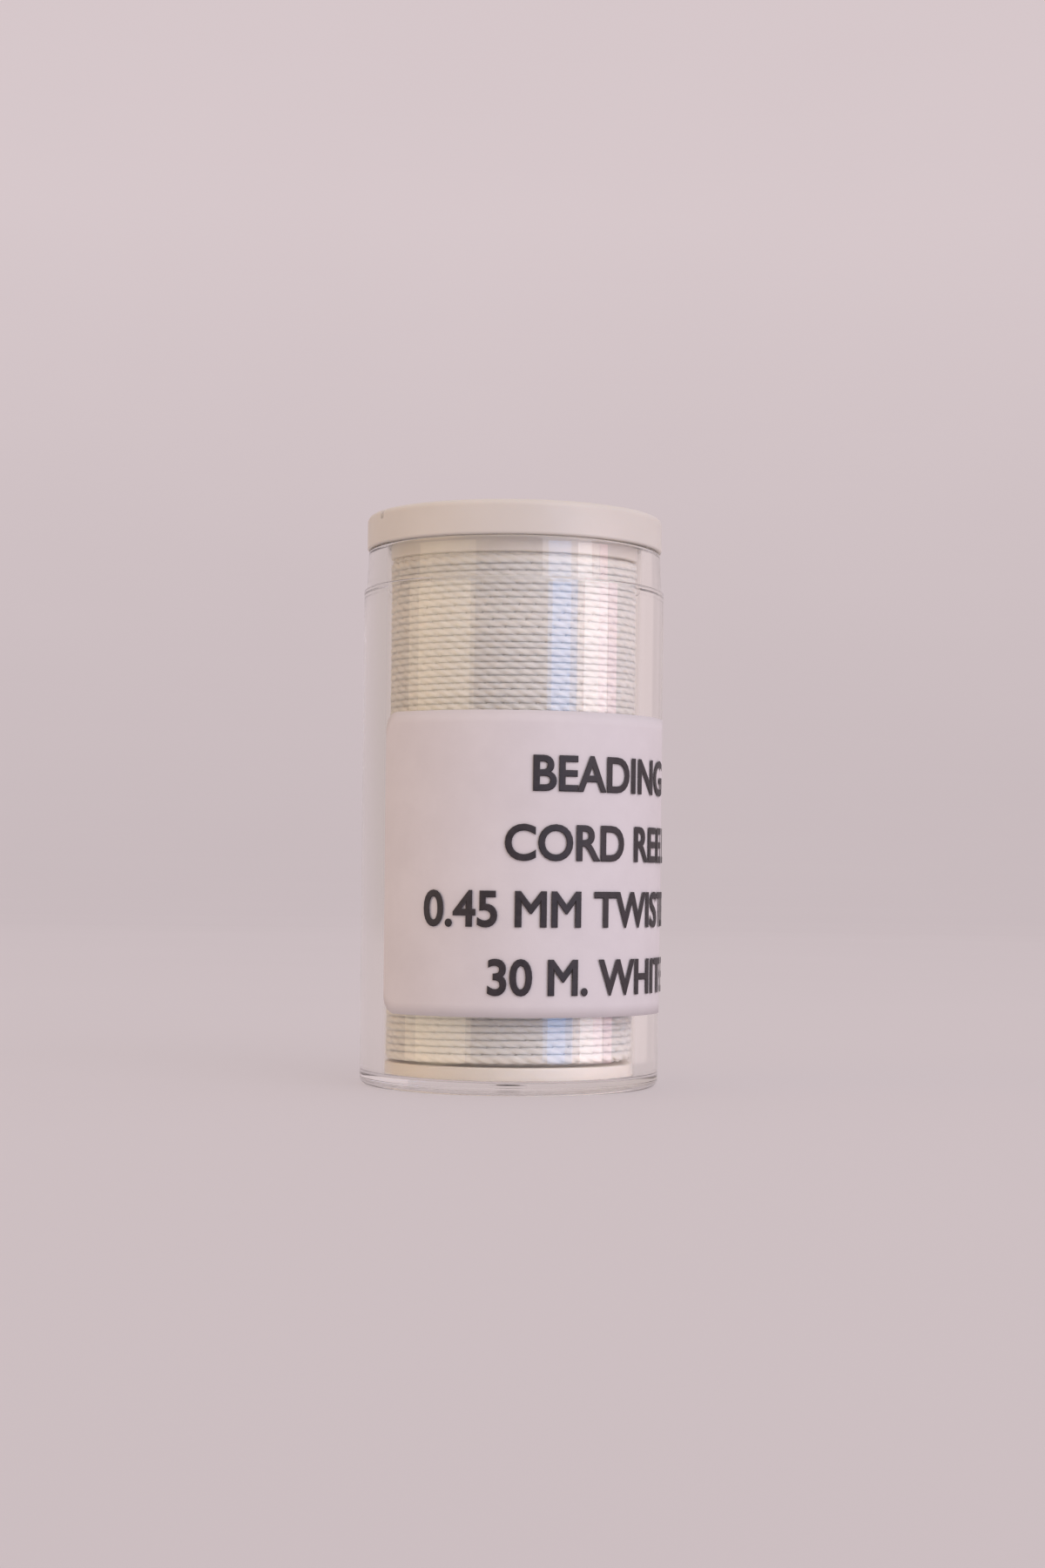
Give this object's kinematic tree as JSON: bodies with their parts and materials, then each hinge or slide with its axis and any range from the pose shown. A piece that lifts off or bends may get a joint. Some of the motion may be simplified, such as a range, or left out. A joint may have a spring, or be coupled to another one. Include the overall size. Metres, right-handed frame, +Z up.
{
  "type": "cord bobbin in case",
  "caption": "Bobbin of white twisted craft cord in a clear cylindrical case with an off-white lift-off cap and a white wrap-round label.",
  "frame": {"origin": "centre of the case's base, on the surface it stands on", "axes": "+Z up along the axis of the case, cap and bobbin; -Y is the front, with the label starting left of it and running round the +X side"},
  "size_m": [0.0221, 0.0221, 0.0413],
  "materials": {
    "clear_plastic": "clear, polished",
    "cap_plastic": "satin off-white",
    "bobbin_plastic": "natural, satin",
    "cord_fibre": "twisted white cord, soft sheen",
    "label_paper": "matt uncoated paper"
  },
  "bodies": {
    "case": {"case": "clear_plastic", "label": "label_paper"},
    "cap": {"cap": "cap_plastic"},
    "bobbin": {"bobbin": "bobbin_plastic", "cord_winding": "cord_fibre"}
  },
  "joints": [
    {"name": "cap_lift", "type": "slide", "parent": "case", "child": "cap", "axis": [0, 0, 1], "range_m": [0, 0.0375]},
    {"name": "bobbin_spin", "type": "hinge", "parent": "cap", "child": "bobbin", "pos_m": [0, 0, 0], "axis": [0, 0, 1], "continuous": true}
  ]
}
